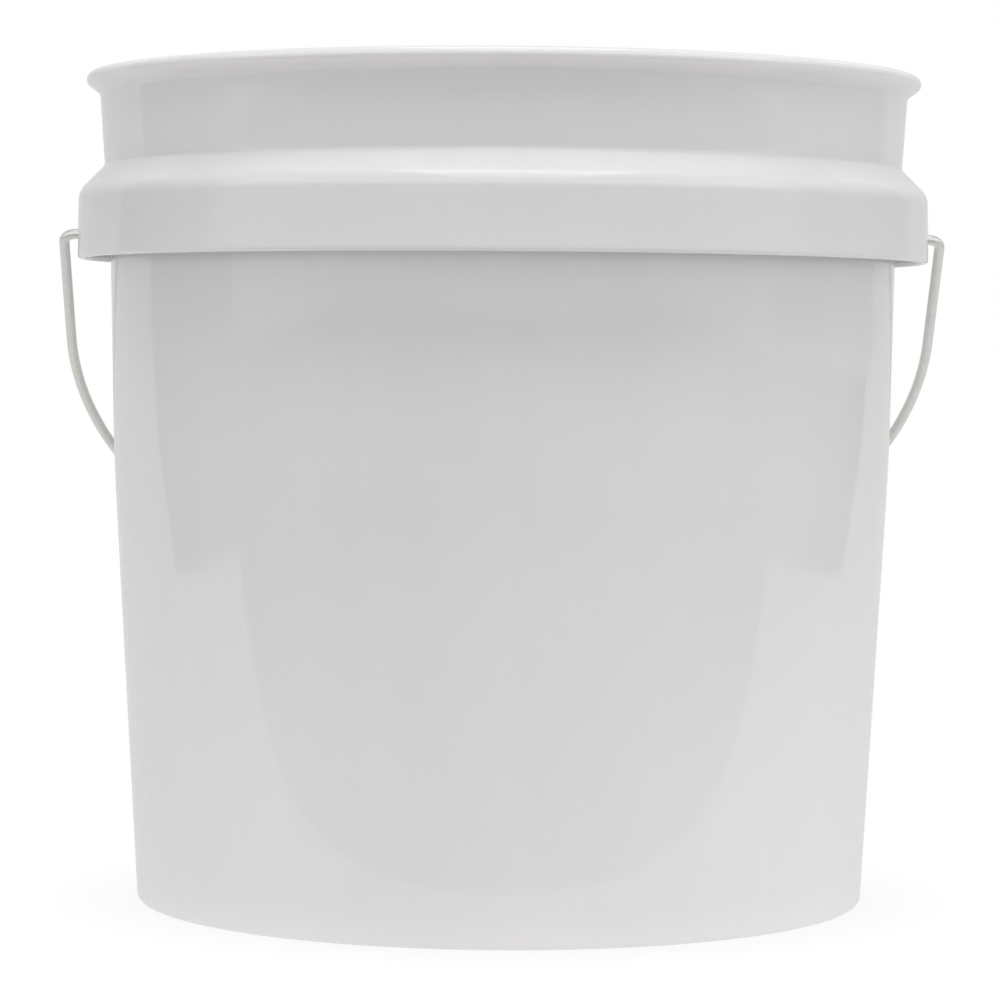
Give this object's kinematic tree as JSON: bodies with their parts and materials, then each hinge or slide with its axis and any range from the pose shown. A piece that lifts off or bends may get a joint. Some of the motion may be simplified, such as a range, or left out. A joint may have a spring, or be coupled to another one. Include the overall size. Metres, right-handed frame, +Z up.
{
  "type": "fermenting bucket",
  "caption": "Round white plastic fermenting bucket with a hollow ribbed skirt, a lid-seal rim and a swinging wire bail with a turning grip.",
  "frame": {"origin": "centre of the foot ring, on the plane the bucket stands on", "axes": "+Z up along the bucket's axis, X through the two bail ears, -Y to the front; the bail hangs behind, towards +Y"},
  "size_m": [0.264, 0.2511, 0.2415],
  "materials": {
    "white_hdpe": "white high-density polyethylene with a soft moulded gloss",
    "zinc_wire": "dull bright zinc-plated drawn wire",
    "grip_plastic": "off-white satin polyethylene"
  },
  "bodies": {
    "pail": {"bucket": "white_hdpe"},
    "bail": {"bail_wire": "zinc_wire"},
    "grip": {"bail_grip": "grip_plastic"}
  },
  "joints": [
    {"name": "bail_swing", "type": "hinge", "parent": "pail", "child": "bail", "pos_m": [0, 0, 0.195], "axis": [1, 0, 0], "range_deg": [0, 265.5]},
    {"name": "grip_spin", "type": "hinge", "parent": "bail", "child": "grip", "pos_m": [0, 0.11906, 0.08485], "axis": [1, 0, 0], "continuous": true}
  ]
}
